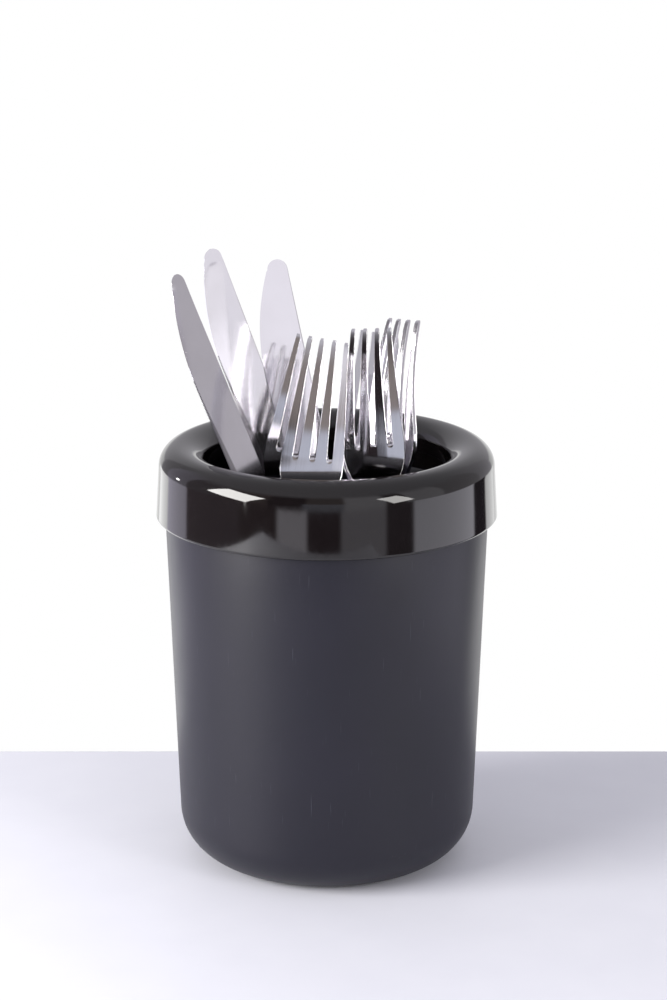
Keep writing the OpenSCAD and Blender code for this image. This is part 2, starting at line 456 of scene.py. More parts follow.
def lathe_tree() -> Tree:
    """Builds the tree that turns an outline in X and Z about the Z axis.

    Returns:
        A tree with the inputs Segments and Finish. Doubled corners at the seam and the poles are merged.
    """
    tree, given = new_tree("turned_shell", {"Segments": "NodeSocketInt", "Finish": "NodeSocketMaterial"})
    count = add_node(tree, "GeometryNodeAttributeDomainSize", {"Geometry": given.outputs["Geometry"]})
    points, segments = count.outputs["Point Count"], given.outputs["Segments"]
    columns = add_node(tree, "ShaderNodeMath", {0: segments, 1: 1.0}, operation="ADD")
    grid = add_node(
        tree, "GeometryNodeMeshGrid", {"Vertices X": columns.outputs[0], "Vertices Y": points})
    index = add_node(tree, "GeometryNodeInputIndex").outputs[0]
    row = add_node(tree, "ShaderNodeMath", {0: index, 1: points}, operation="MODULO")
    share = add_node(tree, "ShaderNodeMath", {0: index, 1: points}, operation="DIVIDE")
    column = add_node(tree, "ShaderNodeMath", {0: share.outputs[0]}, operation="FLOOR")
    turn = add_node(tree, "ShaderNodeMath", {0: column.outputs[0], 1: segments}, operation="DIVIDE")
    angle = add_node(tree, "ShaderNodeMath", {0: turn.outputs[0], 1: math.tau}, operation="MULTIPLY")
    place = add_node(tree, "GeometryNodeInputPosition").outputs[0]
    on_outline = add_node(
        tree, "GeometryNodeSampleIndex",
        {"Geometry": given.outputs["Geometry"], "Value": place, "Index": row.outputs[0]},
        data_type="FLOAT_VECTOR")
    turned = add_node(
        tree, "ShaderNodeVectorRotate",
        {"Vector": on_outline.outputs[0], "Angle": angle.outputs[0]}, rotation_type="Z_AXIS")
    placed = add_node(
        tree, "GeometryNodeSetPosition", {"Geometry": grid.outputs[0], "Position": turned.outputs[0]})
    merged = add_node(
        tree, "GeometryNodeMergeByDistance", {"Geometry": placed.outputs[0], "Distance": 0.001 * MM})
    close_tree(tree, merged.outputs[0], given.outputs["Finish"])
    return tree


def ridge_tree() -> Tree:
    """Builds the tree that sets small round ridges across a line, one at each step.

    Returns:
        A tree with the inputs Pitch, Radius and Finish. Each point of the line has a vector "across", whose
        length is that of its ridge.
    """
    tree, given = new_tree(
        "edge_ridges",
        {"Pitch": "NodeSocketFloat", "Radius": "NodeSocketFloat", "Finish": "NodeSocketMaterial"})
    line = add_node(tree, "GeometryNodeMeshToCurve", {0: given.outputs["Geometry"]})
    steps = add_node(
        tree, "GeometryNodeResampleCurve", {"Curve": line.outputs[0], "Length": given.outputs["Pitch"]},
        mode="LENGTH")
    ridge = add_node(
        tree, "GeometryNodeMeshCylinder",
        {"Vertices": 8, "Radius": given.outputs["Radius"], "Depth": 1.0})
    across = add_node(
        tree, "GeometryNodeInputNamedAttribute", {"Name": "across"}, data_type="FLOAT_VECTOR").outputs[0]
    turn = add_node(tree, "FunctionNodeAlignRotationToVector", {"Vector": across}, axis="Z")
    length = add_node(tree, "ShaderNodeVectorMath", {0: across}, operation="LENGTH")
    scale = add_node(tree, "ShaderNodeCombineXYZ", {"X": 1.0, "Y": 1.0, "Z": length.outputs["Value"]})
    ridges = add_node(
        tree, "GeometryNodeInstanceOnPoints",
        {"Points": steps.outputs[0], "Instance": ridge.outputs["Mesh"],
         "Rotation": turn.outputs[0], "Scale": scale.outputs[0]})
    close_tree(tree, ridges.outputs[0], given.outputs["Finish"])
    return tree


@dataclass(frozen=True)
class CaddyForm:
    """Driving sizes of the cup and its rim ring, and what follows from them, in millimetres and degrees."""

    cup_h: float = 141.0
    cup_rim_r: float = 61.6
    cup_base_r: float = 56.5
    cup_wall: float = 2.8
    cup_floor: float = 3.2
    foot_round: float = 19.0
    skirt_overlap: float = 5.5
    skirt_gap: float = 0.4
    skirt_wall: float = 3.0
    skirt_draft: float = 3.5
    skirt_edge_r: float = 1.2
    roll_rise: float = 14.0
    roll_r: float = 8.0
    throat_round: float = 12.75
    mouth_r: float = 46.0
    roll_depth: float = 11.0
    stand_gap: float = 0.5

    @property
    def wall_lean(self) -> float:
        """Outward lean of the cup's wall, in degrees."""
        return math.degrees(math.atan2(self.cup_rim_r - self.cup_base_r, self.cup_h))

    @property
    def set_back(self) -> float:
        """Thickness of the cup's wall, measured level."""
        return self.cup_wall / math.cos(math.radians(self.wall_lean))

    @property
    def in_round(self) -> float:
        """Rounding between the floor and the wall, inside."""
        return self.foot_round - self.cup_wall

    @property
    def in_mid(self) -> Point:
        """Middle of the inside rounding, in section."""
        r = self.round_mid_r(self.cup_floor, self.cup_wall, self.in_round)
        return (r, self.cup_floor + self.in_round)

    @property
    def floor_r(self) -> float:
        """Inside radius where the floor's rounding ends."""
        return self.in_mid[0] + self.in_round

    @property
    def skirt_r(self) -> float:
        """Radius of the skirt's lower edge, outside."""
        return self.cup_rim_r + self.skirt_gap + self.skirt_wall

    @property
    def skirt_z(self) -> float:
        """Height of the skirt's lower edge."""
        return self.cup_h - self.skirt_overlap

    @property
    def roll_mid(self) -> Point:
        """Middle of the rolled top's outer side, in section."""
        z = self.cup_h + self.roll_rise
        draft = math.radians(self.skirt_draft)
        return (self.skirt_r - (z - self.skirt_z) * math.tan(draft) - self.roll_r / math.cos(draft), z)

    @property
    def throat_mid(self) -> Point:
        """Middle of the rolled top's side towards the mouth, in section. Both sides meet at the crest."""
        return (self.roll_mid[0], self.roll_mid[1] + self.roll_r - self.throat_round)

    @property
    def lip_z(self) -> float:
        """Height of the rolled top's flat underside."""
        return self.roll_mid[1] + self.roll_r - self.roll_depth

    def wall_r(self, z: float) -> float:
        """Returns the cup's outside radius at a height."""
        return self.cup_base_r + (self.cup_rim_r - self.cup_base_r) * z / self.cup_h

    def round_mid_r(self, z: float, back: float, r: float) -> float:
        """Returns how far from the axis a rounding sits between a floor at z and a wall that is set back."""
        return self.wall_r(z + r) - (back + r) / math.cos(math.radians(self.wall_lean))

    def floor_z(self, r: float) -> float:
        """Works out the height of the cup's inside.

        Args:
            r: Distance from the axis.

        Returns:
            The height there.
        """
        mid_r, mid_z = self.in_mid
        if r <= mid_r:
            return self.cup_floor
        return mid_z - math.sqrt(max(0.0, self.in_round ** 2 - (min(r, self.floor_r) - mid_r) ** 2))


@dataclass
class TurnedPiece:
    """A moulded piece that is round about the Z axis."""

    form: CaddyForm
    name: str
    slot: str
    segments: int = 224
    sharp_angle: float = 32.0

    def outline(self) -> list[Point]:
        """Returns the section as a loop of radius and height."""
        raise NotImplementedError

    def build(self, tree: Tree, finish: Finish) -> Piece:
        """Turns the outline to a closed mesh.

        Args:
            tree: The turning tree.
            finish: The piece's material.

        Returns:
            The piece, in place.
        """
        mesh = bpy.data.meshes.new(self.name)
        mesh.from_pydata([(r * MM, 0.0, z * MM) for r, z in self.outline()], [], [])
        piece = new_object(self.name, mesh)
        grow(piece, tree, {"Segments": self.segments, "Finish": finish})
        turn_outwards(piece.data)
        piece.data.shade_smooth()
        piece.data.set_sharp_from_angle(angle=math.radians(self.sharp_angle))
        return piece


@dataclass
class Cup(TurnedPiece):
    """The tapered cup with its round foot."""

    edge_r: float = 0.8
    foot_dish: float = 0.6
    dish_inset: float = 8.0
    dish_slope: float = 1.0
    wall_stops: Sequence[float] = (0.4, 0.7)
    round_steps: int = 16
    edge_steps: int = 4

    def outline(self) -> list[Point]:
        """Draws the section.

        Returns:
            Radius and height of each point, from the foot's middle up the outside and down the inside.
        """
        form = self.form
        lean = form.wall_lean
        foot_mid = form.round_mid_r(0, 0, form.foot_round)
        top, edge = form.cup_h, self.edge_r
        out_r, in_r = form.cup_rim_r, form.cup_rim_r - form.set_back
        flat_r = foot_mid - self.dish_inset
        return [
            (0.0, self.foot_dish), (flat_r - self.dish_slope, self.foot_dish), (flat_r, 0.0),
            *arc((foot_mid, form.foot_round), form.foot_round, -90, -lean, self.round_steps),
            *((form.wall_r(top * stop), top * stop) for stop in self.wall_stops),
            *arc((out_r - edge, top - edge), edge, 0, 90, self.edge_steps),
            *arc((in_r + edge, top - edge), edge, 90, 180, self.edge_steps),
            *arc(form.in_mid, form.in_round, -lean, -90, self.round_steps),
            (form.in_mid[0] * 0.5, form.cup_floor), (0.0, form.cup_floor),
        ]


@dataclass
class RimRing(TurnedPiece):
    """The ring with its skirt and its solid rolled top, which ends in an upright wall round the mouth."""

    lip_edge_r: float = 0.9
    mouth_edge_r: float = 4.0
    bore_edge_r: float = 0.5
    roll_steps: int = 22
    skirt_steps: int = 7
    lip_steps: int = 5
    bore_steps: int = 3

    def outline(self) -> list[Point]:
        """Draws the section.

        Returns:
            Radius and height along a closed loop from the skirt's lower edge, over the top and back inside.
        """
        form = self.form
        inner_mid, soft = form.throat_mid, self.mouth_edge_r
        seat_r = form.cup_rim_r - form.set_back
        bore_r = form.cup_rim_r + form.skirt_gap
        low, edge = form.skirt_z, form.skirt_edge_r
        lip, steps, bore = self.lip_edge_r, self.roll_steps, self.bore_edge_r
        # The mouth's edge is rounded by an arc that touches the roll and the upright wall
        aside = inner_mid[0] - form.mouth_r - soft
        above = math.sqrt((form.throat_round - soft) ** 2 - aside ** 2)
        turn = math.degrees(math.atan2(above, -aside))
        loop = [
            *arc((form.skirt_r - edge, low + edge), edge, -90, form.skirt_draft, self.skirt_steps),
            *arc(form.roll_mid, form.roll_r, form.skirt_draft, 90, steps),
            *arc(inner_mid, form.throat_round, 90, turn, steps)[1:],
            *arc((form.mouth_r + soft, inner_mid[1] + above), soft, turn, 180, steps)[1:],
            *arc((form.mouth_r + lip, form.lip_z + lip), lip, 180, 270, self.lip_steps),
            (seat_r, form.lip_z), (seat_r, form.cup_h), (bore_r, form.cup_h),
            *arc((bore_r + bore, low + bore), bore, 180, 270, self.bore_steps),
        ]
        return [*loop, loop[0]]


@dataclass(frozen=True)
class Stance:
    """Where a piece of cutlery stands: shares of the floor's and mouth's radius, and a turn in degrees."""

    foot: Point
    mouth: Point
    turn: float
    end_steps: int = 6

    def end_points(self, width: float, thickness: float) -> list[Vector]:
        """Works out the outline of the handle's end, on both faces.

        Args:
            width: The handle's width there.
            thickness: Its thickness.

        Returns:
            Points of the end, drawn upright.
        """
        r, y = END_ROUND_SHARE * width / 2, thickness / 2
        half = arc((width / 2 - r, r), r, -90, 0, self.end_steps)
        return [Vector((sx * x, sy * y, z)) for x, z in half for sx in (-1, 1) for sy in (-1, 1)]

    def matrix(self, form: CaddyForm, end: Point) -> Matrix:
        """Works out where the piece stands in the cup.

        Args:
            form: The caddy's sizes.
            end: Width and thickness of the handle's end.

        Returns:
            The placing of a piece that is drawn upright on its handle's end, in millimetres.
        """
        foot = Vector((*self.foot, 0.0)) * form.floor_r
        mouth = Vector((*self.mouth, 0.0)) * form.mouth_r
        way = mouth - foot
        way.z = form.throat_mid[1] - form.cup_floor
        way.normalize()
        heading = math.atan2(way.y, way.x)
        turned = Matrix.Rotation(heading, 4, "Z") @ Matrix.Rotation(math.acos(way.z), 4, "Y")
        turned = turned @ Matrix.Rotation(math.radians(self.turn) - heading, 4, "Z")
        ends = [turned @ p for p in self.end_points(*end)]
        foot.z = form.stand_gap + max(form.floor_z((foot + p).to_2d().length) - p.z for p in ends)
        return Matrix.Translation(foot) @ turned


@dataclass(frozen=True)
class KnifeForm:
    """Sizes of a table knife that stands on its handle's end, with its back towards +X, in millimetres."""

    length: float = 235.0
    handle_len: float = 107.0
    handle_w: float = 17.0
    neck_w: float = 12.0
    handle_t: float = 6.0
    side_t: float = 2.4
    neck_len: float = 12.0
    edge_run: float = 18.0
    blade_w: float = 17.4
    blade_t: float = 2.0
    edge_t: float = 0.15
    belly_r: float = 88.0
    point_r: float = 4.0
    back_share: float = 0.47
    # The serrated strip starts near the point and widens towards the handle
    strip_start: float = 197.0
    strip_full: float = 148.0
    strip_w: float = 3.0
    strip_least: float = 0.25

    @property
    def end(self) -> Point:
        """Width and thickness of the handle's end."""
        return (self.handle_w, self.handle_t)

    @property
    def round_r(self) -> float:
        """Rounding of the handle's corners at its end."""
        return END_ROUND_SHARE * self.handle_w / 2

    @property
    def back_x(self) -> float:
        """Place of the blade's back."""
        return self.back_share * self.blade_w

    @property
    def edge_x(self) -> float:
        """Place of the straight cutting edge."""
        return self.back_x - self.blade_w

    @property
    def belly_mid(self) -> Point:
        """Middle of the belly's arc, which touches the edge and the blunt point."""
        x = self.edge_x + self.belly_r
        reach = self.belly_r - self.point_r
        rise = math.sqrt(reach ** 2 - (x - self.back_x + self.point_r) ** 2)
        return (x, self.length - self.point_r - rise)

    def strip_at(self, s: float) -> float:
        """Returns the width of the serrated strip at a station."""
        share = ease((self.strip_start - s) / (self.strip_start - self.strip_full))
        return mix(self.strip_least, self.strip_w, share)

    def sides(self, s: float) -> Point:
        """Works out the outline at a station.

        Args:
            s: Distance from the handle's end.

        Returns:
            The lowest and the highest X.
        """
        round_r = self.round_r
        if s < round_r:
            half = self.handle_w / 2 - round_r + math.sqrt(round_r ** 2 - (round_r - s) ** 2)
            return -half, half
        if s < self.handle_len:
            half = mix(self.handle_w, self.neck_w, (s - round_r) / (self.handle_len - round_r)) / 2
            return -half, half
        past = s - self.handle_len
        low = mix(-self.neck_w / 2, self.edge_x, ease(past / self.edge_run))
        high = mix(self.neck_w / 2, self.back_x, ease(past / self.neck_len))
        mid_x, mid_z = self.belly_mid
        if s > mid_z:
            low = mid_x - math.sqrt(self.belly_r ** 2 - (s - mid_z) ** 2)
        blunt = s - (self.length - self.point_r)
        if blunt > 0:
            half = math.sqrt(max(0.0, self.point_r ** 2 - blunt ** 2))
            high = self.back_x - self.point_r + half
            low = max(low, self.back_x - self.point_r - half)
        return low, high

    def handle_half(self, x: float) -> float:
        """Works out the handle's domed face.

        Args:
            x: Distance from the middle line.

        Returns:
            Half the handle's thickness there.
        """
        rise = (self.handle_t - self.side_t) / 2
        r = ((self.handle_w / 2) ** 2 + rise ** 2) / (2 * rise)
        return math.sqrt(r ** 2 - x ** 2) - r + self.handle_t / 2


@dataclass
class Knife:
    """One table knife: a solid handle with domed faces, a neck and a flat blade with a serrated edge."""

    name: str
    stance: Stance
    form: KnifeForm = field(default_factory=KnifeForm)
    slot: str = "knife_steel"
    columns: int = 10
    serration_pitch: float = 0.6
    serration_r: float = 0.22
    serration_ends: Point = (131.0, 196.0)
    serration_stops: int = 40
    sharp_angle: float = 15.0
    # Shares of the width over which the blade's back and the handle's sides are rounded off, and how far
    back_round: float = 0.03
    back_cut: float = 0.75
    side_round: float = 0.06
    side_cut: float = 0.35
    # Lengths over which both ends thin out, and what is left of the thickness there
    end_round: float = 2.2
    end_least: float = 0.25
    tip_round: float = 0.7
    tip_least: float = 0.35
    # The handle's faces pass to the blade's from this far before the neck to as far behind it
    neck_blend: float = 4.0
    handle_steps: int = 8
    neck_steps: int = 18
    neck_step: float = 2.0
    blade_steps: int = 36

    def stations(self) -> list[float]:
        """Works out where sections are drawn, closer together where the knife bends.

        Returns:
            Distances from the handle's end.
        """
        form = self.form
        r, point_z = form.round_r, form.length - form.point_r
        neck_z = form.handle_len - 2 * self.neck_blend
        end = [r * (1 - math.cos(math.radians(a))) for a in range(0, 91, 9)]
        handle = [mix(r, neck_z, (i + 1) / self.handle_steps) for i in range(self.handle_steps)]
        neck = [neck_z + self.neck_step * (i + 1) for i in range(self.neck_steps)]
        blade = [mix(neck[-1], point_z, (i + 1) / self.blade_steps) for i in range(self.blade_steps)]
        point = [form.length - form.point_r * (1 - math.sin(math.radians(a))) for a in range(8, 81, 8)]
        return [*end, *handle, *neck, *blade, *point]

    def thinned(self, along: float, least: float) -> float:
        """Returns the share of the thickness that is left at a share of the way over a rounded end."""
        return mix(least, 1, math.sqrt(1 - (1 - min(along, 1.0)) ** 2))

    def faces(self, s: float, x: float, share: float) -> Point:
        """Works out both faces: the blade's front is flat, and its rear is ground away towards the edge.

        Args:
            s: Distance from the handle's end.
            x: Distance from the middle line.
            share: Place between the edge, 0, and the back, 1.

        Returns:
            Y of the front face and of the rear one.
        """
        form = self.form
        thick = form.blade_t / 2
        past_back = max(0.0, (share - 1 + self.back_round) / self.back_round)
        corner = math.sqrt(1 - past_back ** 2 * self.back_cut)
        rear = mix(form.edge_t - thick, thick * corner, share)
        domed = form.handle_half(min(abs(x), form.handle_w / 2))
        past_side = max(0.0, (abs(2 * share - 1) - 1 + self.side_round) / self.side_round)
        handle = domed * (1 - self.side_cut * past_side ** 2)
        blade = ease((s - form.handle_len + self.neck_blend) / (form.neck_len + 2 * self.neck_blend))
        front, rear = mix(-handle, -thick * corner, blade), mix(handle, rear, blade)
        # The tip thins out from the rear alone, so that the front stays one flat mirror
        rear = front + self.thinned((form.length - s) / self.tip_round, self.tip_least) * (rear - front)
        middle = (front + rear) / 2
        half = self.thinned(s / self.end_round, self.end_least) * (rear - front) / 2
        return middle - half, middle + half

    def build(self, caddy: CaddyForm, finish: Finish) -> Piece:
        """Lofts the knife through its sections.

        Args:
            caddy: Sizes of the cup that it stands in.
            finish: The knife's material.

        Returns:
            The knife, in place.
        """
        sketch = Sketch()
        loops = []
        flat = 1 - self.back_round
        shares = [*(flat * i / self.columns for i in range(self.columns + 1)), 1 - self.back_round / 3, 1.0]
        for s in self.stations():
            low, high = self.form.sides(s)
            front = []
            back = []
            for share in shares:
                x = low + share * (high - low)
                near, far = self.faces(s, x, share)
                front.append((Vector((x, near, s)), (x, s)))
                back.append((Vector((x, far, s)), (x + 2 * self.form.blade_w, s)))
            loops.append(sketch.add_row([*front, *reversed(back)]))
        for lower, upper in zip(loops, loops[1:]):
            sketch.join_rows(lower, upper, closed=True)
        first, last, half = loops[0], loops[-1], len(shares)
        sketch.join_rows(first[:half - 1:-1], first[:half])
        sketch.join_rows(last[:half], last[:half - 1:-1])
        mesh = sketch.mesh(self.name, self.stance.matrix(caddy, self.form.end))
        mesh.shade_smooth()
        mesh.set_sharp_from_angle(angle=math.radians(self.sharp_angle))
        mesh.materials.append(finish)
        return new_object(self.name, mesh)

    def build_serrations(self, caddy: CaddyForm, tree: Tree, finish: Finish) -> Piece:
        """Sets the fine ridges of the serrated strip on both faces.

        Args:
            caddy: Sizes of the cup that the knife stands in.
            tree: The ridge tree.
            finish: The ridges' material.

        Returns:
            The ridges, in place.
        """
        place = self.stance.matrix(caddy, self.form.end)
        count = self.serration_stops
        spots, edges, across = [], [], []
        for side in (0, 1):
            start = len(spots)
            for i in range(count + 1):
                s = mix(*self.serration_ends, i / count)
                low, high = self.form.sides(s)
                reach = self.form.strip_at(s)
                # Half of each ridge's radius is sunk into the blade
                sunk = (0.5 - side) * self.serration_r
                edge, upper = (
                    Vector((x, self.faces(s, x, share)[side] + sunk, s))
                    for x, share in ((low, 0.0), (low + reach, reach / (high - low))))
                spots.append((place @ ((edge + upper) / 2)) * MM)
                across.append(place.to_3x3() @ (upper - edge) * MM)
            edges += [(i, i + 1) for i in range(start, start + count)]
        mesh = bpy.data.meshes.new(self.name + "_serrations")
        mesh.from_pydata(spots, edges, [])
        layer = mesh.attributes.new("across", "FLOAT_VECTOR", "POINT")
        layer.data.foreach_set("vector", [c for v in across for c in v])
        piece = new_object(mesh.name, mesh)
        sizes = {"Pitch": self.serration_pitch * MM, "Radius": self.serration_r * MM, "Finish": finish}
        grow(piece, tree, sizes)
        piece.data.shade_smooth()
        return piece


@dataclass(frozen=True)
class ForkForm:
    """Sizes of a table fork that stands on its handle's end, hollow side towards +Y, in millimetres."""

    length: float = 206.0
    handle_w: float = 15.0
    neck_w: float = 6.6
    head_w: float = 22.8
    tine_len: float = 41.0
    slot_w: float = 2.1
    tip_pitch: float = 4.5
    tip_w: float = 1.5
    neck_t: float = 3.4
    end_t: float = 2.4
    palm_t: float = 2.0
    tip_t: float = 1.4
    neck_share: float = 0.64
    neck_len: float = 12.0
    neck_bend: float = 7.0
    neck_bend_r: float = 60.0
    head_bend_r: float = 110.0
    palm_flat_len: float = 4.0
    palm_set: float = 1.0
    palm_ends: Point = (138.0, 168.0)
    shoulder_len: float = 22.0
    dish: float = 0.8
    # How far the handle's taper is straight instead of soft
    taper_share: float = 0.6

    @property
    def end(self) -> Point:
        """Width and thickness of the handle's end."""
        return (self.handle_w, self.end_t)

    @property
    def round_r(self) -> float:
        """Rounding of the handle's corners at its end."""
        return END_ROUND_SHARE * self.handle_w / 2

    @property
    def neck_z(self) -> float:
        """Height at which the neck starts to bend."""
        return self.neck_share * self.length

    @property
    def root_z(self) -> float:
        """Height of the slots' lower ends."""
        return self.length - self.tine_len

    @property
    def tine_root_w(self) -> float:
        """Width of a tine at its root."""
        return (self.head_w - 3 * self.slot_w) / 4

    def half_width(self, s: float) -> float:
        """Works out half the fork's width, without its slots.

        Args:
            s: Height.

        Returns:
            Half the width.
        """
        round_r = self.round_r
        if s < round_r:
            return self.handle_w / 2 - round_r + math.sqrt(round_r ** 2 - (round_r - s) ** 2)
        along = (s - round_r) / (self.neck_z - self.neck_len - round_r)
        soft = mix(self.handle_w, self.neck_w, ease(along))
        straight = mix(self.handle_w, self.neck_w, min(1.0, along))
        start = self.root_z - self.palm_flat_len - self.shoulder_len
        wide = mix(self.neck_w, self.head_w, ease((s - start) / self.shoulder_len))
        return max(mix(soft, straight, self.taper_share), wide) / 2

    def middle(self, s: float) -> float:
        """Works out the middle line: straight, a bend back, then the head's long curve with a flatter palm.

        Args:
            s: Height.

        Returns:
            Y of the middle line.
        """
        if s <= self.neck_z:
            return 0.0
        bend = math.radians(self.neck_bend)
        end_y = -self.neck_bend_r * (1 - math.cos(bend))
        end_z = self.neck_z + self.neck_bend_r * math.sin(bend)
        if s <= end_z:
            return -self.neck_bend_r + math.sqrt(self.neck_bend_r ** 2 - (s - self.neck_z) ** 2)
        mid_y = end_y + self.head_bend_r * math.cos(bend)
        mid_z = end_z + self.head_bend_r * math.sin(bend)
        low, high = self.palm_ends
        along = min(1.0, max(0.0, (s - low) / (high - low)))
        pressed = self.palm_set * math.sin(math.pi * along) ** 2
        return mid_y - math.sqrt(self.head_bend_r ** 2 - (s - mid_z) ** 2) - pressed

    def thickness(self, s: float) -> float:
        """Works out the thickness, which changes evenly between four heights.

        Args:
            s: Height.

        Returns:
            The thickness.
        """
        stops = [
            (0.0, self.end_t), (self.neck_z, self.neck_t), (self.root_z, self.palm_t),
            (self.length, self.tip_t)]
        for (a, low), (b, high) in zip(stops, stops[1:]):
            if s <= b:
                return mix(low, high, (s - a) / (b - a))
        return self.tip_t


@dataclass
class Fork:
    """One table fork, drawn as a cage of two faces that a subdivision surface rounds."""

    name: str
    stance: Stance
    form: ForkForm = field(default_factory=ForkForm)
    slot: str = "fork_steel"
    tine_count: int = 4
    tine_cols: int = 4
    edge_share: float = 0.86
    levels: int = 2
    # The handle's faces are crowned by a share of the thickness, which fades out before the neck
    crown: float = 0.28
    crown_fade: float = 20.0
    handle_rows: Sequence[float] = (0.0, 0.5, 1.6, 3.6, 6.2, 12, 24, 40, 56, 72, 88, 104, 113, 119)
    end_round: float = 1.6
    end_least: float = 0.45
    neck_start: float = 124.0
    neck_steps: int = 10
    root_gap: float = 1.2
    # Rows of a tine: steps above its root, even steps between, and steps below its tip
    root_rows: Sequence[float] = (0.7, 2.0)
    even_ends: Point = (5.0, 6.0)
    even_steps: int = 6
    tip_rows: Sequence[float] = (3.4, 1.4, 0.4, 0.0)
    tip_round: float = 1.0
    tip_least_w: float = 0.6
    tip_least_t: float = 0.55

    def tine_columns(self, s: float, tine: int) -> list[float]:
        """Works out the columns of corners across one tine.

        Args:
            s: Height.
            tine: Number of the tine, from the left.

        Returns:
            X of the tine's four columns.
        """
        form = self.form
        number = tine - (self.tine_count - 1) / 2
        up = min(1.0, max(0.0, (s - form.root_z - form.slot_w / 2) / (form.tine_len - form.slot_w / 2)))
        middle = number * mix(form.tine_root_w + form.slot_w, form.tip_pitch, up)
        half = mix(form.tine_root_w, form.tip_w, up) / 2
        return [middle + half * k for k in (-1, -self.edge_share, self.edge_share, 1)]

    def face_points(
        self, s: float, xs: Sequence[float], side: int, slim: float
    ) -> list[tuple[Vector, Point]]:
        """Places a row of corners on one face.

        Args:
            s: Height.
            xs: X of each corner.
            side: -1 for the rounded back, 1 for the hollow side.
            slim: Factor on the thickness.

        Returns:
            Place and surface coordinates of each corner.
        """
        form = self.form
        half = form.thickness(s) / 2 * slim
        dished = form.dish * ease((s - form.neck_z) / (form.root_z - form.neck_z)) * 4 / form.head_w ** 2
        crown = self.crown * (1 - ease((s - form.neck_z + self.crown_fade) / self.crown_fade))
        reach = form.half_width(s)
        points = []
        for x in xs:
            thin = 1 - crown * (x / reach) ** 2
            y = form.middle(s) + dished * x * x + side * half * thin
            points.append((Vector((x, y, s)), (x + (side + 1) * form.head_w, s)))
        return points

    def build(self, caddy: CaddyForm, finish: Finish) -> Piece:
        """Builds the cage and its subdivision.

        Args:
            caddy: Sizes of the cup that the fork stands in.
            finish: The fork's material.

        Returns:
            The fork, in place.
        """
        form = self.form
        root = [x for tine in range(self.tine_count) for x in self.tine_columns(form.root_z, tine)]
        shares = [x / (form.head_w / 2) for x in root]
        neck_end, steps = form.root_z - self.root_gap, self.neck_steps
        neck = [mix(self.neck_start, neck_end, i / steps) for i in range(steps + 1)]
        sketch = Sketch()
        rows = []
        for s in [*self.handle_rows, *neck, form.root_z]:
            slim = mix(self.end_least, 1.0, min(1.0, s / self.end_round))
            xs = [share * form.half_width(s) for share in shares]
            rows.append([sketch.add_row(self.face_points(s, xs, side, slim)) for side in (-1, 1)])
        for low, high in zip(rows, rows[1:]):
            sketch.join_plates(low, high)
        sketch.join_rows(rows[0][1], rows[0][0])
        for tine in range(self.tine_count):
            self.add_tine(sketch, rows[-1], tine)
        mesh = sketch.mesh(self.name, self.stance.matrix(caddy, form.end))
        mesh.shade_smooth()
        mesh.materials.append(finish)
        piece = new_object(self.name, mesh)
        rounding = piece.modifiers.new("rounding", "SUBSURF")
        rounding.levels = self.levels
        rounding.render_levels = self.levels
        return piece

    def add_tine(self, sketch: Sketch, root: Sequence[Sequence[int]], tine: int) -> None:
        """Adds one tine, and the end of the slot on its right.

        Args:
            sketch: The cage.
            root: Corners of the palm's last row, on the back and on the hollow side.
            tine: Number of the tine, from the left.
        """
        form = self.form
        first = self.tine_cols * tine
        after = first + self.tine_cols
        below = [list(side[first:after]) for side in root]
        if tine + 1 < self.tine_count:
            a, b = root
            sketch.faces.append((a[after - 1], a[after], b[after], b[after - 1]))
        low, high = form.root_z + self.even_ends[0], form.length - self.even_ends[1]
        heights = [form.root_z + step for step in self.root_rows]
        heights += [mix(low, high, i / self.even_steps) for i in range(self.even_steps + 1)]
        heights += [form.length - step for step in self.tip_rows]
        for s in heights:
            past = max(0.0, (s - form.length) / self.tip_round + 1.0)
            tip = math.sqrt(max(0.0, 1 - past ** 2))
            xs = self.tine_columns(s, tine)
            mid = sum(xs) / self.tine_cols
            xs = [mid + (x - mid) * mix(self.tip_least_w, 1.0, tip) for x in xs]
            slim = mix(self.tip_least_t, 1.0, tip)
            row = [sketch.add_row(self.face_points(s, xs, side, slim)) for side in (-1, 1)]
            sketch.join_plates(below, row)
            below = row
        sketch.join_rows(below[0], below[1])


@dataclass(frozen=True)
class Sector:
    """A stretch of the room's walls, between two headings in degrees from -Y towards +X."""

    start: float
    colour: str
    level: float


@dataclass(frozen=True)
class Belt:
    """A belt of the room's walls, which starts at a height in degrees and fades in over some more."""

    rise: float
    fade: float
    sectors: Sequence[Sector]


@dataclass(frozen=True)
class Softbox:
    """A lit panel, placed by the heading and height at which the ring sees it."""

    name: str
    heading: float
    rise: float
    roll: float
    size: Point
    radiance: float
    distance: float = 0.85
    colour: str = "#fffdfa"


# Walls on the left and on the right that the room's two upper belts share
LEFT_WALLS = (
    Sector(-135, "#d8d4e4", 1.0), Sector(-108, "#868288", 1.0), Sector(-75, "#8a7c78", 0.9),
    Sector(-40, "#2a2426", 1.0))
RIGHT_WALLS = (
    Sector(12, "#f6f4fa", 1.1), Sector(40, "#4a4042", 1.0), Sector(55, "#f6f4fa", 1.0),
    Sector(85, "#bcb9be", 1.0), Sector(125, "#d0cdd4", 1.0))


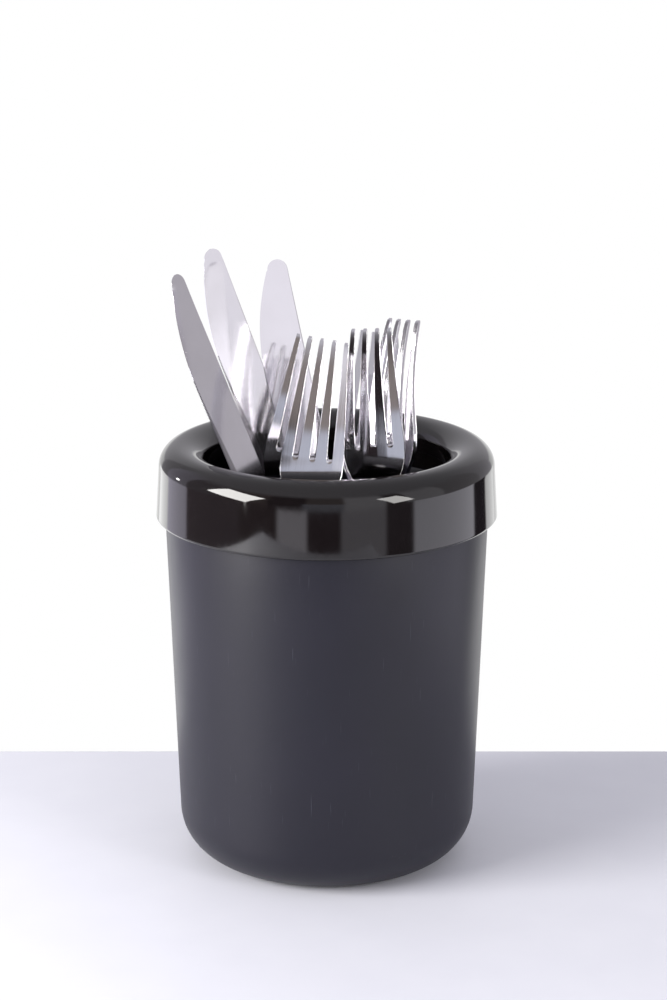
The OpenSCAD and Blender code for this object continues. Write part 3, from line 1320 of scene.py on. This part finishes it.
@dataclass
class Studio:
    """The pale table, the room round it, the lights and the camera."""

    aim: Vector = field(default_factory=lambda: Vector((0.0, 0.0, 0.155)))
    table_low: Vector = field(default_factory=lambda: Vector((-0.5, -0.57, -0.03)))
    table_high: Vector = field(default_factory=lambda: Vector((0.3, 0.105, 0.0)))
    table_edge: float = 2.0
    table_edge_steps: int = 3
    camera_at: Vector = field(default_factory=lambda: Vector((0.00256, -1.020, 0.4218)))
    camera_pitch: float = 0.269
    lens: float = 100.04
    belts: Sequence[Belt] = (
        Belt(-90, 0, (
            Sector(-135, "#d8d4e4", 2.2), Sector(-108, "#7a7076", 1.0), Sector(-60, "#544848", 1.0),
            Sector(-33, "#e4e0e8", 2.0), Sector(-13, "#4c4044", 1.0), Sector(9.5, "#e8e4ec", 1.0),
            Sector(40, "#5c5458", 1.0), Sector(60, "#f4f2fc", 2.1), Sector(117, "#3e3a40", 1.0),
            Sector(135, "#ffffff", 1.9), Sector(155, "#ffffff", 1.3), Sector(205, "#ffffff", 2.5))),
        Belt(-7.6, 0.6, (
            *LEFT_WALLS, Sector(-16, "#c4c8d4", 1.0), *RIGHT_WALLS, Sector(150, "#ffffff", 1.2),
            Sector(210, "#c8c6cc", 0.8))),
        Belt(3, 3, (
            *LEFT_WALLS, Sector(-14, "#8f8783", 1.0), *RIGHT_WALLS, Sector(150, "#e4e2e8", 0.9),
            Sector(210, "#c8c6cc", 0.8))))
    sector_blend: float = 1.2
    ceiling_colour: str = "#ecebf2"
    ceiling_level: float = 0.66
    ceiling_ends: Point = (30.0, 44.0)
    softboxes: Sequence[Softbox] = (
        Softbox("window_left", -62.9, 12.8, -25.4, (0.535, 0.43), 16.0),
        Softbox("window_right", 45.7, 10.3, -69.7, (0.42, 0.235), 8.0),
        Softbox("lamp_left", -115.6, 2.5, 0, (0.05, 0.05), 30.0))

    def build_table(self) -> None:
        """Adds the table as a slab with softened edges."""
        low, high = self.table_low, self.table_high
        mesh = bpy.data.meshes.new("table")
        corners = [(x, y, z) for z in (low.z, high.z) for y in (low.y, high.y) for x in (low.x, high.x)]
        mesh.from_pydata(corners, [], [
            (0, 2, 3, 1), (4, 5, 7, 6), (0, 1, 5, 4), (2, 6, 7, 3), (0, 4, 6, 2), (1, 3, 7, 5)])
        mesh.materials.append(LacqueredBoard().material())
        table = new_object("table", mesh)
        bevel = table.modifiers.new("edge", "BEVEL")
        bevel.width = self.table_edge * MM
        bevel.segments = self.table_edge_steps

    def band(self, tree: Tree, heading: Any, sectors: Sequence[Sector]) -> Any:
        """Adds a ring of coloured sectors.

        Args:
            tree: The world's tree.
            heading: Socket that goes from 0 to 1 round the table.
            sectors: The sectors in order of their start.

        Returns:
            The colour's socket.
        """
        soft = self.sector_blend / 360
        # The round gradient starts a quarter turn before heading 0
        quarter = 0.25
        stops = []
        for sector, after in zip(sectors, [*sectors[1:], sectors[0]]):
            colour = linear(sector.colour, sector.level)
            start = (quarter + sector.start / 360) % 1
            end = (quarter + after.start / 360) % 1
            stops += [((start + soft) % 1, colour), ((end - soft) % 1, colour)]
            if end < start:
                stops += [(0.0, colour), (1.0, colour)]
        stops.sort(key=lambda stop: stop[0])
        ramp = add_node(tree, "ShaderNodeValToRGB", {"Fac": heading})
        elements = ramp.color_ramp.elements
        while len(elements) < len(stops):
            elements.new(0.5)
        for element, (at, colour) in zip(elements, stops):
            element.position = at
            element.color = colour
        return ramp.outputs[0]

    def build_room(self) -> None:
        """Adds the room: walls in belts of dark and pale panels, a pale ceiling, and white for the camera."""
        world = bpy.data.worlds.new("studio_room")
        world.use_nodes = True
        tree = world.node_tree
        tree.nodes.clear()
        way = add_node(tree, "ShaderNodeTexCoord").outputs["Generated"]
        heading = add_node(tree, "ShaderNodeTexGradient", {"Vector": way}, gradient_type="RADIAL").outputs[1]
        height = add_node(tree, "ShaderNodeSeparateXYZ", {"Vector": way}).outputs["Z"]
        walls = self.band(tree, heading, self.belts[0].sectors)
        for belt in self.belts[1:]:
            low, high = (math.sin(math.radians(angle)) for angle in (belt.rise, belt.rise + belt.fade))
            up = spread(tree, height, (low, high), (0.0, 1.0))
            walls = blend_colours(tree, up, walls, self.band(tree, heading, belt.sectors))
        low, high = (math.sin(math.radians(angle)) for angle in self.ceiling_ends)
        top = spread(tree, height, (low, high), (0.0, 1.0))
        room = blend_colours(tree, top, walls, linear(self.ceiling_colour, self.ceiling_level))
        lit = add_node(tree, "ShaderNodeBackground", {"Color": room, "Strength": 1.0})
        white = add_node(tree, "ShaderNodeBackground", {"Color": linear("#ffffff"), "Strength": 1.0})
        seen = add_node(tree, "ShaderNodeLightPath").outputs["Is Camera Ray"]
        shown = add_node(tree, "ShaderNodeMixShader", {0: seen, 1: lit.outputs[0], 2: white.outputs[0]})
        add_node(tree, "ShaderNodeOutputWorld", {"Surface": shown.outputs[0]})
        bpy.context.scene.world = world

    def build_lights(self) -> None:
        """Adds the lit panels that the ring mirrors."""
        for box in self.softboxes:
            light = bpy.data.lights.new(box.name, "AREA")
            light.shape = "RECTANGLE"
            light.size, light.size_y = box.size
            light.energy = box.radiance * math.pi * box.size[0] * box.size[1]
            light.color = linear(box.colour)[:3]
            heading, rise = math.radians(box.heading), math.radians(box.rise)
            way = Vector((
                math.sin(heading) * math.cos(rise), -math.cos(heading) * math.cos(rise), math.sin(rise)))
            lamp = bpy.data.objects.new(box.name, light)
            lamp.location = self.aim + box.distance * way
            facing = way.to_track_quat("Z", "Y").to_matrix() @ Matrix.Rotation(math.radians(box.roll), 3, "Z")
            lamp.rotation_euler = facing.to_euler()
            lamp.visible_camera = False
            bpy.context.scene.collection.objects.link(lamp)

    def build_camera(self) -> None:
        """Adds the camera at the photograph's viewing angle."""
        camera = bpy.data.cameras.new("camera")
        camera.lens = self.lens
        camera.clip_start = 0.01
        at = bpy.data.objects.new("camera", camera)
        at.location = self.camera_at
        at.rotation_euler = (math.pi / 2 - self.camera_pitch, 0.0, 0.0)
        bpy.context.scene.collection.objects.link(at)
        bpy.context.scene.camera = at

    def build(self) -> None:
        """Adds everything that surrounds the caddy."""
        self.build_table()
        self.build_room()
        self.build_lights()
        self.build_camera()
        bpy.context.scene.view_settings.view_transform = "Standard"


KNIFE_STANCES = (
    Stance((0.48, 0.195), (-0.695, 0.24), 55.0),
    Stance((0.59, 0.61), (-0.47, 0.67), 34.0),
    Stance((0.48, -0.67), (-0.145, -0.015), 14.5),
)
FORK_STANCES = (
    Stance((-0.475, -0.565), (-0.155, -0.835), -2.0),
    Stance((-0.735, 0.185), (-0.3, -0.325), -2.5),
    Stance((0.58, -0.195), (0.415, -0.44), -10.5),
    Stance((-0.19, -0.555), (0.315, 0.165), 11.0),
    Stance((0.725, -0.11), (0.565, -0.125), -41.0),
)


def settle(piece: Piece, body: str, replaced: str | None = None) -> None:
    """Ties a finished piece to the frame and reports it.

    Args:
        piece: The piece, in place.
        body: Body that it moves with.
        replaced: Solid that it stands for, if any.
    """
    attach(piece, body)
    note = ""
    if replaced:
        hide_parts(replaced)
        bpy.context.view_layer.update()
        ready = piece.evaluated_get(bpy.context.evaluated_depsgraph_get())
        corners = [Vector(c) for c in ready.bound_box]
        low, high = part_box(replaced)
        off = [min(c[i] for c in corners) - low[i] for i in range(3)]
        off += [max(c[i] for c in corners) - high[i] for i in range(3)]
        note = "off its solid's box by " + " ".join(f"{o / MM:+.2f}" for o in off) + " mm"
    LOG.info("%s: %d faces %s", piece.name, len(piece.data.polygons), note)


def main() -> None:
    """Builds the caddy, its cutlery and the studio."""
    logging.basicConfig(level=logging.INFO, format="%(name)s %(message)s")
    caddy = CaddyForm()
    turning, ridges = lathe_tree(), ridge_tree()
    cup = Cup(caddy, "cup_body", "cup_plastic")
    settle(cup.build(turning, SatinPolypropylene().material()), "cup", "cup")
    ring = RimRing(caddy, "rolled_ring", "ring_plastic")
    settle(ring.build(turning, GlossMelamine().material()), "rim_ring", "rim_ring")
    blade_steel = PolishedStainless("stainless_polished_knife").material()
    fork_steel = PolishedStainless("stainless_polished_fork").material()
    # The ridges' dark steel colour is painted shade for the light that the cross-ground grooves hold between
    # them, so the strip reads as a dark matt line; only its higher roughness is the ground finish itself
    ground = PolishedStainless("stainless_ground_strip_painted_shade", "#4a484c", "#5e5c60", (0.3, 0.45)).material()
    for i, stance in enumerate(KNIFE_STANCES, 1):
        node = f"knife_{i}"
        knife = Knife(f"table_knife_{i}", stance)
        settle(knife.build(caddy, blade_steel), node, node)
        settle(knife.build_serrations(caddy, ridges, ground), node)
    for i, stance in enumerate(FORK_STANCES, 1):
        node = f"fork_{i}"
        fork = Fork(f"table_fork_{i}", stance)
        settle(fork.build(caddy, fork_steel), node, node)
    Studio().build()


if __name__ == "__main__":
    main()
